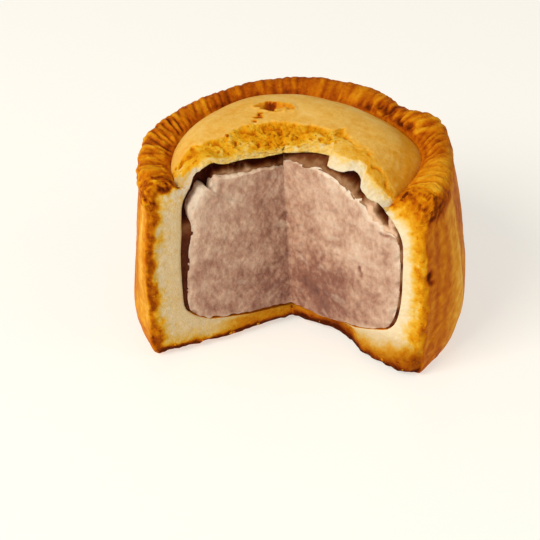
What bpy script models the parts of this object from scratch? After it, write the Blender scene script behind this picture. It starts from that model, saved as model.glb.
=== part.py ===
"""Pork pie with a wedge cut from it, in metres, +Z up, resting on the XY plane.

The pastry case, its crimped rim and its lid are baked into one crust.  The
pork filling stands in it, under and inside a layer of set jelly.  The origin
is on the pie's axis, at the foot, and the wedge is missing on the -Y side.
"""

import math

import bmesh
import bpy

MM = 0.001

# The outside of the crust
RIM_RADIUS = 37.8 * MM        # outermost point of the crimped rim
RIM_TOP = 50.6 * MM
RIM_HALF_WIDTH = 4.1 * MM     # the rim is a roll with an oval section
RIM_HALF_HEIGHT = 3.4 * MM
RIM_INNER_ARC = 165.0         # degrees round the roll, from outside, to the lid
LID_RADIUS = 29.4 * MM        # where the lid dips under the rim
LID_TOP = 57.0 * MM
LID_EDGE_HEIGHT = 47.4 * MM
LID_SHOULDER = 4.0            # power of the dome: 2 is round, more is fuller
FOOT_RADIUS = 38.6 * MM
FOOT_ROUND = 2.4 * MM
BARREL = 2.0 * MM             # how far the wall swells between rim and foot

# The crust's thickness and the layers inside it
WALL = 7.3 * MM
FLOOR = 5.2 * MM
LID_THICKNESS = 4.2 * MM
SHOULDER_TURN = 9.0 * MM      # radius of the turn from the lid to the wall
FLOOR_TURN = 6.0 * MM
JELLY_TOP = 4.0 * MM          # jelly above the meat
JELLY_SIDE = 1.0 * MM         # jelly between the meat and the wall
JELLY_FOOT = 12.0 * MM        # height at which that side layer runs out
INSIDE_SHIFT = 0.8 * MM       # the filling sits off centre, towards +X
GAP = 0.3 * MM                # clearance between neighbouring solids

# Crimping of the rim, and the unevenness of a pie raised by hand
FLUTES = 95
FLUTE_DEPTH = 0.35 * MM
FLUTE_SLANT = 1.5             # flutes turned across the width of the rim
SWAY = 1.3 * MM               # the middle of the wall leans towards +X
SHOULDER_LIFT = 2.4 * MM      # the lid's shoulder stands higher on the -X side
SHOULDER_LIFT_AT = 205.0      # degrees
DENTS = (                     # degrees round the rim, radial move, half width
    (126.0, -1.7 * MM, 22.0),
    (42.0, -1.9 * MM, 7.0),
    (18.0, 1.2 * MM, 10.0),
)

# The missing wedge, from near the axis out past the wall
CUT_RIGHT = -33.5             # degrees, direction of the cut towards +X
CUT_LEFT = 202.5              # degrees, direction of the cut towards -X
CUT_TIP_TOP = (-2.8 * MM, -4.0 * MM)
CUT_TIP_FOOT = (-0.8 * MM, -4.0 * MM)
CUT_REACH = 110.0 * MM

# The steam hole in the lid
STEAM_HOLE = (-6.3 * MM, 11.5 * MM)
STEAM_HOLE_MOUTH = 2.6 * MM
STEAM_HOLE_FOOT = 1.0 * MM
STEAM_HOLE_DEPTH = 3.2 * MM

CRUST_STEPS = 2 * FLUTES
INSIDE_STEPS = 48


def remove_old_objects():
    for old in list(bpy.data.objects):
        bpy.data.objects.remove(old, do_unlink=True)


def new_collection(name):
    made = bpy.data.collections.new(name)
    bpy.context.scene.collection.children.link(made)
    return made


def food_material(name, colour, roughness):
    made = bpy.data.materials.new(name)
    made.use_nodes = True
    shader = made.node_tree.nodes["Principled BSDF"]
    shader.inputs["Base Color"].default_value = (*colour, 1.0)
    shader.inputs["Roughness"].default_value = roughness
    shader.inputs["Metallic"].default_value = 0.0
    return made


def arc(centre, half_width, half_height, start, end, count):
    """Points of an oval arc, in degrees from +X, both ends among them."""
    points = []
    for step in range(count):
        turn = math.radians(start + (end - start) * step / (count - 1))
        points.append((centre[0] + half_width * math.cos(turn),
                       centre[1] + half_height * math.sin(turn)))
    return points


def lid_height(radius):
    share = min(radius / LID_RADIUS, 1.0)
    return LID_TOP - (LID_TOP - LID_EDGE_HEIGHT) * share ** LID_SHOULDER


def wall_radius(height):
    """Outer radius of the wall: barrelled, and rounded in at the foot."""
    share = min(max(height / RIM_TOP, 0.0), 1.0)
    radius = FOOT_RADIUS + (RIM_RADIUS - FOOT_RADIUS) * share
    radius += BARREL * math.sin(math.pi * share)
    if height < FOOT_ROUND:
        rise = FOOT_ROUND - height
        radius -= FOOT_ROUND - math.sqrt(FOOT_ROUND ** 2 - rise ** 2)
    return radius


def crust_outline():
    """Outer side of the crust, from the top of the lid to the base's centre."""
    rim_centre = (RIM_RADIUS - RIM_HALF_WIDTH, RIM_TOP - RIM_HALF_HEIGHT)
    lid = [(LID_RADIUS * share, lid_height(LID_RADIUS * share))
           for share in (0.0, 0.35, 0.6, 0.8, 0.92, 1.0)]
    rim = arc(rim_centre, RIM_HALF_WIDTH, RIM_HALF_HEIGHT, RIM_INNER_ARC, -10.0, 7)
    wall = [(wall_radius(RIM_TOP * share), RIM_TOP * share)
            for share in (0.78, 0.6, 0.44, 0.28, 0.14)]
    foot = [(wall_radius(FOOT_ROUND * share), FOOT_ROUND * share)
            for share in (1.0, 0.3, 0.0)]
    return lid + rim + wall + foot + [(0.0, 0.0)]


def inside_outline(top_drop, side_inset, foot_height):
    """Outline of what fits in the crust, set in from the cavity's own walls."""
    top = LID_TOP - LID_THICKNESS - top_drop
    radius = wall_radius(0.5 * RIM_TOP) - WALL - side_inset
    shoulder = lid_height(radius - SHOULDER_TURN) - LID_THICKNESS - top_drop
    lid = [(0.0, top), (0.5 * (radius - SHOULDER_TURN), top - 0.6 * MM)]
    turn = arc((radius - SHOULDER_TURN, shoulder - SHOULDER_TURN),
               SHOULDER_TURN, SHOULDER_TURN, 80.0, 0.0, 5)
    floor = arc((radius - FLOOR_TURN, foot_height + FLOOR_TURN),
                FLOOR_TURN, FLOOR_TURN, 0.0, -90.0, 5)
    return lid + turn + floor + [(0.0, foot_height)]


def jelly_outline():
    """A cap of jelly whose thin skirt runs down between meat and wall."""
    outer = inside_outline(GAP, GAP, FLOOR)
    inner = inside_outline(JELLY_TOP, GAP + JELLY_SIDE, FLOOR)
    outer_side = [point for point in outer[:-1] if point[1] > JELLY_FOOT]
    inner_side = [point for point in inner[:-1] if point[1] > JELLY_FOOT]
    skirt = [(outer_side[-1][0], JELLY_FOOT), (inner_side[-1][0], JELLY_FOOT)]
    return outer_side + skirt + inner_side[::-1]


def turned_mesh(name, outline, steps, closed):
    """The outline, at +X, turned once round the Z axis."""
    profile = bpy.data.meshes.new(name + "_profile")
    edges = [(i, i + 1) for i in range(len(outline) - 1)]
    if closed:
        edges.append((len(outline) - 1, 0))
    profile.from_pydata([(radius, 0.0, height) for radius, height in outline], edges, [])
    guide = bpy.data.objects.new(name + "_profile", profile)
    cutters.objects.link(guide)
    screw = guide.modifiers.new("Turn", "SCREW")
    screw.axis = "Z"
    screw.angle = math.tau
    screw.steps = steps
    screw.render_steps = steps
    screw.use_merge_vertices = True
    screw.merge_threshold = 0.01 * MM
    bpy.context.view_layer.update()
    turned = bpy.data.meshes.new_from_object(
        guide.evaluated_get(bpy.context.evaluated_depsgraph_get()))
    turned.name = name
    bpy.data.objects.remove(guide, do_unlink=True)
    close_poles(turned)
    return turned


def close_poles(mesh):
    """Merges the points that meet on the axis, so the turned skin is closed."""
    work = bmesh.new()
    work.from_mesh(mesh)
    bmesh.ops.remove_doubles(work, verts=work.verts, dist=0.005 * MM)
    bmesh.ops.recalc_face_normals(work, faces=work.faces)
    work.to_mesh(mesh)
    work.free()


def angle_between(first, second):
    return abs((first - second + 180.0) % 360.0 - 180.0)


def hand_shape(mesh, shift):
    """Leans a round mesh to +X at half height, and lifts the lid's -X shoulder."""
    for vertex in mesh.vertices:
        radius = math.hypot(vertex.co.x, vertex.co.y)
        turn = math.degrees(math.atan2(vertex.co.y, vertex.co.x))
        away = math.radians(angle_between(turn, SHOULDER_LIFT_AT))
        ring = math.exp(-((radius - 0.9 * LID_RADIUS) / (0.2 * LID_RADIUS)) ** 2)
        high = min(max(vertex.co.z / LID_EDGE_HEIGHT - 0.7, 0.0) / 0.2, 1.0)
        vertex.co.z += SHOULDER_LIFT * (0.5 + 0.5 * math.cos(away)) ** 3 * ring * high
        share = min(max(vertex.co.z / RIM_TOP, 0.0), 1.0)
        vertex.co.x += shift + SWAY * math.sin(math.pi * share)


def crimp_rim(mesh):
    """Presses slanted flutes into the rim, and dents the wall here and there."""
    for vertex in mesh.vertices:
        radius = math.hypot(vertex.co.x, vertex.co.y)
        if radius < 0.5 * LID_RADIUS:
            continue
        turn = math.atan2(vertex.co.y, vertex.co.x)
        across = (radius - LID_RADIUS) / (RIM_RADIUS - LID_RADIUS)
        move = 0.0
        for place, depth, half_width in DENTS:
            away = angle_between(math.degrees(turn), place) / half_width
            move += depth * math.exp(-away * away)
        move *= min(vertex.co.z / (0.4 * RIM_TOP), 1.0)
        if across < 0.0:
            move *= 1.0 + across
        vertex.co.x += move * math.cos(turn)
        vertex.co.y += move * math.sin(turn)
        on_rim = 0.0 < across < 1.05 and vertex.co.z > LID_EDGE_HEIGHT
        if on_rim:
            wave = math.cos(FLUTES * turn + FLUTE_SLANT * across)
            vertex.co.z += FLUTE_DEPTH * wave


def cut_from(target, name, cutter):
    boolean = target.modifiers.new(name, "BOOLEAN")
    boolean.operation = "DIFFERENCE"
    boolean.solver = "EXACT"
    boolean.object = cutter


def place(mesh, material, collection):
    made = bpy.data.objects.new(mesh.name, mesh)
    mesh.materials.clear()
    if material is not None:
        mesh.materials.append(material)
    collection.objects.link(made)
    return made


def make_cutter(made):
    made.hide_render = True
    made.display_type = "WIRE"
    return made


def wedge_cutter():
    """A three-cornered prism whose edge leans with the knife's two strokes."""
    outline = bpy.data.curves.new("wedge_outline", "CURVE")
    outline.dimensions = "2D"
    outline.fill_mode = "BOTH"
    outline.extrude = RIM_TOP
    spline = outline.splines.new("POLY")
    spline.points.add(2)
    corners = [(0.0, 0.0)] + [
        (CUT_REACH * math.cos(math.radians(turn)), CUT_REACH * math.sin(math.radians(turn)))
        for turn in (CUT_LEFT, CUT_RIGHT)]
    for point, corner in zip(spline.points, corners):
        point.co = (corner[0], corner[1], 0.0, 1.0)
    spline.use_cyclic_u = True
    guide = bpy.data.objects.new("wedge_outline", outline)
    cutters.objects.link(guide)
    bpy.context.view_layer.update()
    mesh = bpy.data.meshes.new_from_object(
        guide.evaluated_get(bpy.context.evaluated_depsgraph_get()))
    mesh.name = "wedge_cutter"
    bpy.data.objects.remove(guide, do_unlink=True)
    close_poles(mesh)
    for vertex in mesh.vertices:
        height = vertex.co.z + 0.5 * RIM_TOP
        share = height / RIM_TOP
        vertex.co.x += CUT_TIP_FOOT[0] + (CUT_TIP_TOP[0] - CUT_TIP_FOOT[0]) * share
        vertex.co.y += CUT_TIP_FOOT[1] + (CUT_TIP_TOP[1] - CUT_TIP_FOOT[1]) * share
        vertex.co.z = height
    return make_cutter(place(mesh, None, cutters))


def steam_hole_cutter():
    """A blunt cone let into the lid beside the pie's axis."""
    mesh = bpy.data.meshes.new("steam_hole_cutter")
    work = bmesh.new()
    bmesh.ops.create_cone(work, cap_ends=True, segments=14, radius1=STEAM_HOLE_FOOT,
                          radius2=STEAM_HOLE_MOUTH, depth=2.0 * STEAM_HOLE_DEPTH)
    work.to_mesh(mesh)
    work.free()
    made = make_cutter(place(mesh, None, cutters))
    surface = lid_height(math.hypot(*STEAM_HOLE))
    made.location = (STEAM_HOLE[0], STEAM_HOLE[1], surface)
    return made


remove_old_objects()
pie = new_collection("pork_pie")
cutters = new_collection("cutters")

baked_crust = food_material("baked_hot_water_crust", (0.52, 0.20, 0.025), 0.6)
cured_pork = food_material("chopped_pork", (0.56, 0.32, 0.24), 0.55)
set_jelly = food_material("set_jelly", (0.10, 0.045, 0.03), 0.3)

wedge = wedge_cutter()
steam_hole = steam_hole_cutter()

cavity_mesh = turned_mesh("cavity_cutter", inside_outline(0.0, 0.0, FLOOR), INSIDE_STEPS, False)
hand_shape(cavity_mesh, INSIDE_SHIFT)
cavity = make_cutter(place(cavity_mesh, None, cutters))

crust_mesh = turned_mesh("crust", crust_outline(), CRUST_STEPS, False)
crimp_rim(crust_mesh)
hand_shape(crust_mesh, 0.0)
crust = place(crust_mesh, baked_crust, pie)
cut_from(crust, "Steam hole", steam_hole)
cut_from(crust, "Cavity", cavity)
cut_from(crust, "Missing wedge", wedge)

jelly_mesh = turned_mesh("jelly", jelly_outline(), INSIDE_STEPS, True)
hand_shape(jelly_mesh, INSIDE_SHIFT)
jelly = place(jelly_mesh, set_jelly, pie)
cut_from(jelly, "Missing wedge", wedge)

filling_outline = inside_outline(JELLY_TOP + GAP, GAP + JELLY_SIDE + GAP, FLOOR + GAP)
filling_mesh = turned_mesh("pork_filling", filling_outline, INSIDE_STEPS, False)
hand_shape(filling_mesh, INSIDE_SHIFT)
filling = place(filling_mesh, cured_pork, pie)
cut_from(filling, "Missing wedge", wedge)

for piece in pie.objects:
    piece.data.shade_smooth()
    piece.data.set_sharp_from_angle(angle=math.radians(40.0))
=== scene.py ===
import math
import random

import bmesh
import bpy
from mathutils import Matrix, Vector, noise


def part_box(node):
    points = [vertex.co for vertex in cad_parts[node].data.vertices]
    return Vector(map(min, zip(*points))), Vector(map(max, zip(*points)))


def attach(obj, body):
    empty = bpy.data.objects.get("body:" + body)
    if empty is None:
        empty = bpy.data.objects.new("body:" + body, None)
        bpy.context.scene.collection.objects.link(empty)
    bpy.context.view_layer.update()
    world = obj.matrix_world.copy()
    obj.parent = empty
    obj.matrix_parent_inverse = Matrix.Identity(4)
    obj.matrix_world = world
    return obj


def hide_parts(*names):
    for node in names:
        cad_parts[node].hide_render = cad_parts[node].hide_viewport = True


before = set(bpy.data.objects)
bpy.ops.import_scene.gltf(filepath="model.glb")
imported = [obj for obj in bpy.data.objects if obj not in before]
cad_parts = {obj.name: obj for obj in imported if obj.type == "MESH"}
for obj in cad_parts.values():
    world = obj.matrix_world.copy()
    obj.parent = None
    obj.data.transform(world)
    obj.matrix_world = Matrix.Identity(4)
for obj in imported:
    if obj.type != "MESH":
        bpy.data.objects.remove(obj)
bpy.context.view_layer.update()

# ---------------------------------------------------------------- the lid
# A disc of hot water crust pastry laid on the filled pie and baked to a smooth
# golden dome.  Its edge is held down under the rolled rim.  Where the wedge was
# lifted out the lid has broken back from the knife's cut into golden crumb.
#
# Lengths are in millimetres up to a finished piece, and directions in degrees.
MM = 0.001
_, crust_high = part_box("crust")
LID_TOP = round(crust_high.z / MM, 1)
LID_RADIUS = 29.4
LID_STEPS = 430
LID_ACROSS = 14
INNER_THINNING = 4      # the edge inside keeps every fourth row
WELD = 0.004            # points nearer than this are merged

# The missing wedge: two straight cuts that meet at a tip near the pie's axis.
# The tip leans, so it has one place at the foot and one at the rim's top.
CUT_RIGHT = -33.5
CUT_LEFT = 202.5
CUT_TIP_FOOT = Vector((-0.8, -4.0))
CUT_TIP_TOP = Vector((-2.8, -4.0))
CUT_MEETS_RIM = 39.0
RIM_TOP = 50.6
SPIN_START = -40.0
SPIN_END = 206.8

# What the maker's hands and the oven did to the round shape: a sway of the
# middle, a high shoulder on the lid and a foot that sagged out.
SWAY = 1.3
SWAY_FADE = 16.0
SHOULDER_LIFT = 2.0
SHOULDER_AT = 205.0
SHOULDER_RADIUS = 26.5
SHOULDER_WIDTH = 5.9
FOOT_SPREAD = 2.2
FOOT_RADIUS = 40.0
FOOT_SPREAD_AT = 10.0
FOOT_SPREAD_FADE = 13.0

# Radius of the crease between lid and rim, and of the rim, by direction.
CREASE = ((-90, 28.0), (-29, 27.9), (-19, 28.3), (-10, 29.2), (3, 31.0), (11, 31.1), (25, 30.4),
          (44, 29.3), (65, 28.7), (92, 30.0), (114, 30.4), (136, 28.9), (155, 28.7), (183, 28.9),
          (270, 28.9))
RIM = ((-90, 37.4), (-11, 37.4), (4, 37.7), (13, 38.5), (18, 39.0), (24, 38.4), (31, 37.2),
       (38, 36.2), (42, 35.6), (47, 36.6), (55, 37.3), (71, 37.7), (88, 37.5), (107, 36.5),
       (126, 35.6), (148, 36.5), (165, 37.6), (187, 37.5), (270, 37.4))
RIM_RADIUS = 37.6

# Width of the broken band along each cut, from the cut inwards.
BAND_RIGHT = ((0, 6.8), (2.3, 9.0), (5, 8.9), (7.9, 9.4), (9.6, 12.6), (12.6, 11.6), (18, 10.6),
              (22.4, 8.6), (26, 6.8), (29, 4.5), (31, 2.5))
BAND_LEFT = ((0, 7.2), (2, 8.5), (4, 9.2), (8.8, 9.0), (10.9, 6.6), (14, 6.1), (17.5, 6.6),
             (19.5, 7.6), (24, 7.4), (29, 4.5), (32, 2.0))

# Where a line of pits runs in the right band, and how far each band has dropped.
PITS_RIGHT = ((9, 10.6), (11.7, 9.5), (15, 7.8), (18, 8.6), (21, 5.8), (23, 6.8), (26, 4.0),
              (30, 2.0))
DROP_RIGHT = ((0, 3.0), (8, 3.0), (12, 1.4), (24, 1.0), (30, 0.4))
DROP_LEFT = ((0, 3.0), (18, 3.0), (25, 1.8), (30, 0.6))

# How far the lid's under edge stands back from the right cut, and how much
# further its upper edge does.
BACK_UNDER_RIGHT = ((-3, 0.0), (0, 0.3), (3, 1.6), (5, 3.3), (7.5, 4.4), (10.2, 4.5), (12.0, 0.3),
                    (16.8, 0.3), (18.2, 2.0), (20.2, 2.1), (21.0, 0.0), (40, 0.0))
BACK_LEAN_RIGHT = ((-3, 0.0), (0, 0.6), (8, 0.6), (12, 3.0), (22, 3.0), (28, 3.8), (34, 4.2))
BACK_LEAN_LEFT = ((-3, 0.0), (2, 0.4), (20, 0.8), (30, 1.2))
BACK_FADE = 14.0

# Width of the pale under side that shows at the lid's left end.
PALE_LEFT = ((18, -1.0), (22, 0.8), (24.5, 4.0), (27, 6.5), (31, 8.0))

# Sections through the lid: outer side, inner side at each cut, and the rows of
# mesh up to the next station.
LID_STATIONS = (
    ((0.0, LID_TOP), (0.0, 52.7), (0.0, 52.6), 14),
    ((5.0, LID_TOP), (5.0, 52.9), (5.0, 52.8), 14),
    ((10.0, 56.9), (10.0, 53.0), (10.0, 53.3), 15),
    ((15.0, 56.35), (15.0, 53.0), (15.0, 53.0), 16),
    ((20.0, 54.9), (18.8, 53.0), (20.0, 53.2), 15),
    ((24.0, 52.7), (21.3, 50.3), (22.9, 51.4), 13),
    ((27.0, 50.1), (23.5, 48.2), (24.4, 50.7), 9),
    ((28.8, 48.2), (25.8, 48.1), (25.4, 49.2), 8),
    ((30.2, 46.0), (27.8, 46.6), (26.2, 47.0), 0),
)


def linear(code):
    """A hex sRGB colour as linear red, green, blue and alpha."""
    parts = [int(code[place:place + 2], 16) / 255.0 for place in (1, 3, 5)]
    parts = [part / 12.92 if part <= 0.04045 else ((part + 0.055) / 1.055) ** 2.4 for part in parts]
    return (*parts, 1.0)


def set_inputs(tree, node, inputs):
    """Gives a node its inputs, which are constants or sockets to link from."""
    for name, value in inputs.items():
        if isinstance(value, bpy.types.NodeSocket):
            tree.links.new(value, node.inputs[name])
        else:
            node.inputs[name].default_value = value


def add_node(tree, kind, output, inputs, stops=(), **settings):
    """Adds a shader node and returns one of its outputs.

    Stops are a colour ramp's positions and hex colours.
    """
    made = tree.nodes.new("ShaderNode" + kind)
    for name, value in settings.items():
        setattr(made, name, value)
    set_inputs(tree, made, inputs)
    for _ in stops[2:]:     # a new ramp has two stops
        made.color_ramp.elements.new(1.0)
    for number, (position, code) in enumerate(stops):
        made.color_ramp.elements[number].position = position
        made.color_ramp.elements[number].color = linear(code)
    return made.outputs[output]


def new_material(name):
    """A material, its node tree and its shader."""
    made = bpy.data.materials.new(name)
    made.use_nodes = True
    return made, made.node_tree, made.node_tree.nodes["Principled BSDF"]


def along(table, place):
    """Straight-line reading of a table of (place, value) rows."""
    if place <= table[0][0]:
        return table[0][1]
    for (low, first), (high, second) in zip(table, table[1:]):
        if place <= high:
            return first + (second - first) * (place - low) / (high - low)
    return table[-1][1]


def step(low, high, value):
    """0 at low, 1 at high, and smooth between them."""
    share = min(max((value - low) / (high - low), 0.0), 1.0)
    return share * share * (3.0 - 2.0 * share)


def hump(value, middle, width):
    """1 at the middle, falling smoothly to about a third one width from it."""
    return math.exp(-((value - middle) / width) ** 2)


def rough(point, size, octaves=2):
    """Noise from -1 to 1 with cells about size mm across."""
    total = 0.0
    weight = 1.0
    for octave in range(octaves):
        total += weight * noise.noise(point * (2.0 ** octave / size))
        weight *= 0.5
    return total


def cell(point, size):
    """1 in the middle of a lump, 0 in the gaps between lumps size mm across."""
    near, far = noise.voronoi(point / size)[0][:2]
    return min((far - near) * 1.6, 1.0)


def smooth_path(points, rows):
    """A curve through the points, with rows[i] steps between point i and i + 1."""
    path = []
    for i in range(len(points) - 1):
        before = Vector(points[max(i - 1, 0)])
        first = Vector(points[i])
        second = Vector(points[i + 1])
        after = Vector(points[min(i + 2, len(points) - 1)])
        for row in range(rows[i]):
            t = row / rows[i]
            path.append(0.5 * ((2.0 * first) + (second - before) * t
                               + (2.0 * before - 5.0 * first + 4.0 * second - after) * t * t
                               + (3.0 * first - before - 3.0 * second + after) * t * t * t))
    path.append(Vector(points[-1]))
    return path


def station_paths(stations):
    """Outer path, and inner path at the right and the left cut."""
    rows = [station[3] for station in stations[:-1]]
    return [smooth_path([station[side] for station in stations], rows) for side in range(3)]


def spun_section(rows, across, steps, thin):
    """A gridded section turned from the right cut to the left one.

    Each vertex carries its place across the section, 0 outside to 1 inside, and
    along it.  The inner edge is thinned, as it only shows at the cuts.
    """
    work = bmesh.new()
    bmesh.ops.create_grid(work, x_segments=across, y_segments=rows, size=0.5)
    across_layer = work.verts.layers.float.new("across")
    along_layer = work.verts.layers.float.new("along")
    for vert in work.verts:
        vert[across_layer] = vert.co.x + 0.5
        vert[along_layer] = round((vert.co.y + 0.5) * rows)
        vert.co = (2.0 + vert.co.x, 0.0, vert.co.y)
    if thin > 1:
        spare = [vert for vert in work.verts
                 if vert[across_layer] > 0.999 and vert[along_layer] % thin
                 and vert[along_layer] < rows]
        bmesh.ops.dissolve_verts(work, verts=spare)
    bmesh.ops.rotate(work, verts=work.verts, matrix=Matrix.Rotation(math.radians(SPIN_START), 3, "Z"))
    bmesh.ops.spin(work, geom=work.verts[:] + work.edges[:] + work.faces[:], cent=(0, 0, 0),
                   axis=(0, 0, 1), angle=math.radians(SPIN_END - SPIN_START), steps=steps,
                   use_merge=False, use_duplicate=False)
    return work, across_layer, along_layer


def turn_of(point):
    """Direction of a point round the pie, in degrees from the right cut on."""
    turn = math.degrees(math.atan2(point.y, point.x))
    return turn if turn > -90.0 else turn + 360.0


def tip_at(height):
    """Where the two cuts meet at a height."""
    return CUT_TIP_FOOT.lerp(CUT_TIP_TOP, height / RIM_TOP)


def cut_place(point, turn_degrees, side):
    """Distance along a cut from its tip, distance into the pie, and the way in."""
    turn = math.radians(turn_degrees)
    away = Vector((point.x, point.y)) - tip_at(point.z)
    run = Vector((math.cos(turn), math.sin(turn)))
    inward = Vector((-run.y, run.x)) * side
    return away.dot(run), away.dot(inward), inward


def cut_runs(point):
    """Distances of a point along the right and the left cut from their tip."""
    return cut_place(point, CUT_RIGHT, 1.0)[0], cut_place(point, CUT_LEFT, -1.0)[0]


def cut_gap(point):
    """Distance of a point from the nearer cut."""
    gaps = []
    for turn, side in ((CUT_RIGHT, 1.0), (CUT_LEFT, -1.0)):
        run, inside, inward = cut_place(point, turn, side)
        gaps.append(abs(inside) if run > 0.0 else math.hypot(run, inside))
    return min(gaps)


def on_cut_face(turn):
    """True for the two flat ends of a spun section."""
    return turn < SPIN_START + 0.01 or turn > SPIN_END - 0.01


def lean_to_tip(point):
    """Draws the axis of a round shape to the tip, so straight cuts stay straight."""
    pull = 1.0 - math.hypot(point.x, point.y) / CUT_MEETS_RIM
    tip = tip_at(point.z)
    point.x += tip.x * pull
    point.y += tip.y * pull


def push_back(point, depth_right, depth_left):
    """Moves the skin near each cut into the pie, less the further it is away."""
    for turn, side, depth in ((CUT_RIGHT, 1.0, depth_right), (CUT_LEFT, -1.0, depth_left)):
        run, inside, inward = cut_place(point, turn, side)
        reach = BACK_FADE + 2.0 * max(depth - 3.0, 0.0)
        if inside < reach and run > -3.0 and depth:
            fade = (1.0 - max(inside, 0.0) / reach) ** 2
            point.x += inward.x * depth * fade
            point.y += inward.y * depth * fade


def hand_shape(point):
    """Sways the middle, lifts the lid's shoulder and lets the foot sag out."""
    facing = 0.5 + 0.5 * math.cos(math.radians(turn_of(point) - SHOULDER_AT))
    ring = hump(math.hypot(point.x, point.y), SHOULDER_RADIUS, SHOULDER_WIDTH)
    high = step(35.0, 45.0, point.z)
    point.z += SHOULDER_LIFT * facing ** 3 * ring * high
    clear = step(0.0, SWAY_FADE, cut_gap(point))
    point.x += clear * SWAY * math.sin(math.pi * min(max(point.z / RIM_TOP, 0.0), 1.0))
    away = math.hypot(point.x, point.y)
    level = hump(point.z, FOOT_SPREAD_AT, FOOT_SPREAD_FADE)
    spread = FOOT_SPREAD * clear * level * (away / FOOT_RADIUS) ** 4
    point.x += spread * point.x / max(away, 1.0)
    point.y += spread * point.y / max(away, 1.0)


def crease_shift(radius, turn):
    """Radial move that takes the round crease and rim to their uneven outline."""
    crease = along(CREASE, turn) - LID_RADIUS
    rim = along(RIM, turn) - RIM_RADIUS
    if radius < LID_RADIUS:
        return crease * (radius / LID_RADIUS) ** 2
    share = min((radius - LID_RADIUS) / 5.5, 1.0)
    return crease + (rim - crease) * share


def section_reading(vert, across_layer, along_layer):
    """Place across and along the section, direction round the pie, share of the spin."""
    turn = turn_of(vert.co)
    share = (turn - SPIN_START) / (SPIN_END - SPIN_START)
    return vert[across_layer], int(vert[along_layer]), turn, share


def placed(radius, height, turn):
    """A section's point turned round the pie and shaped as by hand."""
    around = math.radians(turn)
    point = Vector((radius * math.cos(around), radius * math.sin(around), height))
    lean_to_tip(point)
    hand_shape(point)
    return point


def band_share(point):
    """How far into the broken band a point lies, 0 at its ledge to 1 at the cut.

    Also returns how far the surface has dropped there, the distances along the
    nearer cut and from it, and the side of that cut.
    """
    best = (-1.0, 0.0, 0.0, 0.0, 0.0)
    wander = 0.9 * rough(point, 5.0) + 0.5 * rough(point, 1.6)
    for turn, side, widths, drops in ((CUT_RIGHT, 1.0, BAND_RIGHT, DROP_RIGHT),
                                      (CUT_LEFT, -1.0, BAND_LEFT, DROP_LEFT)):
        run, inside, inward = cut_place(point, turn, side)
        width = along(widths, run) + wander
        away = inside if run > 0.0 else math.hypot(run, inside)
        share = 1.0 - away / width
        if share > best[0]:
            best = (share, along(drops, run) * max(share, 0.0), run, inside, side)
    return best


# The steam hole: its middle, its half length and half width, its deepest place,
# a flap of paste that hangs in it, and three openings of the crack beside it.
STEAM_HOLE = Vector((-4.9, 10.6))
STEAM_HOLE_TURN = math.radians(-14.0)
STEAM_HOLE_HALF = (4.3, 2.6)
STEAM_HOLE_DEEP = Vector((-6.1, 10.3))
STEAM_HOLE_FLAP = Vector((-3.0, 9.4))
LID_CRACK = (Vector((-8.0, 6.6)), Vector((-8.6, 5.3)), Vector((-9.8, 3.2)))


def steam_hole(point):
    """Depth of the torn steam hole and of the crack beside it, and how brown, with painted shade in its
    deep middle and in the crack.
    """
    spot = Vector((point.x, point.y))
    spot += Vector((0.9 * rough(point, 2.0), 0.9 * rough(point + Vector((7, 7, 7)), 2.0)))
    away = spot - STEAM_HOLE
    along_hole = away.x * math.cos(STEAM_HOLE_TURN) + away.y * math.sin(STEAM_HOLE_TURN)
    across_hole = away.y * math.cos(STEAM_HOLE_TURN) - away.x * math.sin(STEAM_HOLE_TURN)
    ring = math.hypot(along_hole / STEAM_HOLE_HALF[0], across_hole / STEAM_HOLE_HALF[1])
    bowl = step(1.08, 0.62, ring)
    brown = step(1.22, 0.98, ring)
    lip = hump(ring, 1.15, 0.14)
    middle = step(1.7, 0.3, abs(spot.x - STEAM_HOLE_DEEP.x))
    flap = step(2.1, 1.1, (spot - STEAM_HOLE_FLAP).length)
    crack = max(hump((spot - place).length, 0.0, 0.55) for place in LID_CRACK)
    depth = 1.2 * bowl + 1.7 * middle * bowl - 0.9 * flap - 0.25 * lip + 0.5 * crack
    # a browned ring, with painted shade making the deep middle and the crack dark
    tone = (0.22 + 0.48 * middle * step(1.10, 0.98, ring)) * brown * (1.0 - 0.8 * flap)
    return depth, tone + 0.75 * crack


def finished_object(name, work, material):
    """Turns the work, drawn in mm, to an object in metres at the origin."""
    mesh = bpy.data.meshes.new(name)
    bmesh.ops.recalc_face_normals(work, faces=work.faces)
    work.to_mesh(mesh)
    work.free()
    mesh.validate()     # drops faces that fell together at the tip
    mesh.transform(Matrix.Scale(MM, 4))
    mesh.materials.append(material)
    mesh.shade_smooth()
    made = bpy.data.objects.new(name, mesh)
    bpy.context.scene.collection.objects.link(made)
    return made


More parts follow.
